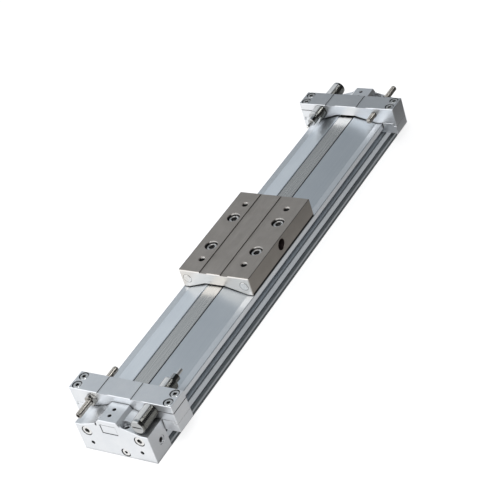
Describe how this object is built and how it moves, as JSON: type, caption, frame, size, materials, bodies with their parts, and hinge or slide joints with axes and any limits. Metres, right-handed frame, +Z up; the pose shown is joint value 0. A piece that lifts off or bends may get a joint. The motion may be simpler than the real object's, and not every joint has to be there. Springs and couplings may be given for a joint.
{
  "type": "rodless pneumatic cylinder",
  "caption": "Low-profile mechanically joined rodless air cylinder with a slide table, belt-sealed slot, end covers, shock absorbers and adjustable stops.",
  "frame": {"origin": "middle of the cylinder's length and width, on the flat underside", "axes": "+X along the tube to the far end cover, +Z up out of the slide table's top, +Y to the side that the belt slot is offset to"},
  "size_m": [0.4314, 0.0926, 0.0417],
  "materials": {
    "anodised": "matte clear-anodised extrusion",
    "machined": "fine-milled, clear-anodised",
    "table": "brown-grey hard anodised, bare at machined edges",
    "stainless": "brushed stainless band",
    "screw_steel": "bright plated screws",
    "dark_steel": "dark polished steel",
    "spring_steel": "drawn wire",
    "plastic": "dark sliding plastic",
    "white_plastic": "pale wear plastic",
    "seal": "black nitrile",
    "magnet": "sintered"
  },
  "bodies": {
    "cylinder": {"cylinder_tube": "anodised", "end_cover_near": "machined", "end_cover_far": "machined", "stopper_block_near": "machined", "stopper_block_far": "machined", "rail_clamps_near": "machined", "rail_clamps_far": "machined", "belt_clamps": "machined", "seal_belt": "stainless", "dust_band": "stainless", "set_screws": "dark_steel", "cover_screws": "screw_steel", "cover_gaskets": "seal", "cushion_spigots": "machined", "lock_nuts": "screw_steel", "clamp_screws_near": "screw_steel", "clamp_screws_far": "screw_steel", "absorber_body_near": "dark_steel", "absorber_body_far": "dark_steel", "absorber_spring_near": "spring_steel", "absorber_spring_far": "spring_steel"},
    "carriage": {"slide_table": "table", "table_screws": "screw_steel", "hit_pads": "screw_steel", "bearing_strips": "white_plastic", "end_scrapers": "plastic", "piston_yoke": "machined", "sensor_magnets": "magnet", "belt_guides": "white_plastic", "piston_near": "machined", "piston_far": "machined", "piston_seals": "seal", "wear_rings": "white_plastic", "cushion_seals": "seal", "piston_screws": "screw_steel", "band_lifters": "white_plastic", "band_pressers": "white_plastic"},
    "absorber_plunger_near": {"absorber_rod_near": "screw_steel"},
    "stop_bolt_near": {"adjusting_bolt_near": "screw_steel"},
    "cushion_screw_near": {"cushion_needle_near": "screw_steel"},
    "absorber_plunger_far": {"absorber_rod_far": "screw_steel"},
    "stop_bolt_far": {"adjusting_bolt_far": "screw_steel"},
    "cushion_screw_far": {"cushion_needle_far": "screw_steel"}
  },
  "joints": [
    {"name": "carriage_slide", "type": "slide", "parent": "cylinder", "child": "carriage", "axis": [1, 0, 0], "range_m": [-0.09445, 0.10365], "deforming": ["seal_belt", "dust_band"]},
    {"name": "absorber_plunge_near", "type": "slide", "parent": "cylinder", "child": "absorber_plunger_near", "axis": [-1, 0, 0], "range_m": [0, 0.007], "stiffness_N_per_m": 380, "springref_m": -0.0105, "deforming": ["absorber_spring_near"]},
    {"name": "stop_bolt_travel_near", "type": "slide", "parent": "cylinder", "child": "stop_bolt_near", "axis": [1, 0, 0], "range_m": [-0.0122, 0.0038]},
    {"name": "cushion_turn_near", "type": "hinge", "parent": "cylinder", "child": "cushion_screw_near", "pos_m": [-0.205, -0.0061, 0.0049], "axis": [-1, 0, 0], "range_deg": [-360, 360]},
    {"name": "absorber_plunge_far", "type": "slide", "parent": "cylinder", "child": "absorber_plunger_far", "axis": [1, 0, 0], "range_m": [0, 0.007], "stiffness_N_per_m": 380, "springref_m": -0.0105, "deforming": ["absorber_spring_far"]},
    {"name": "stop_bolt_travel_far", "type": "slide", "parent": "cylinder", "child": "stop_bolt_far", "axis": [-1, 0, 0], "range_m": [-0.008, 0.008]},
    {"name": "cushion_turn_far", "type": "hinge", "parent": "cylinder", "child": "cushion_screw_far", "pos_m": [0.205, -0.0061, 0.0049], "axis": [1, 0, 0], "range_deg": [-360, 360]}
  ]
}
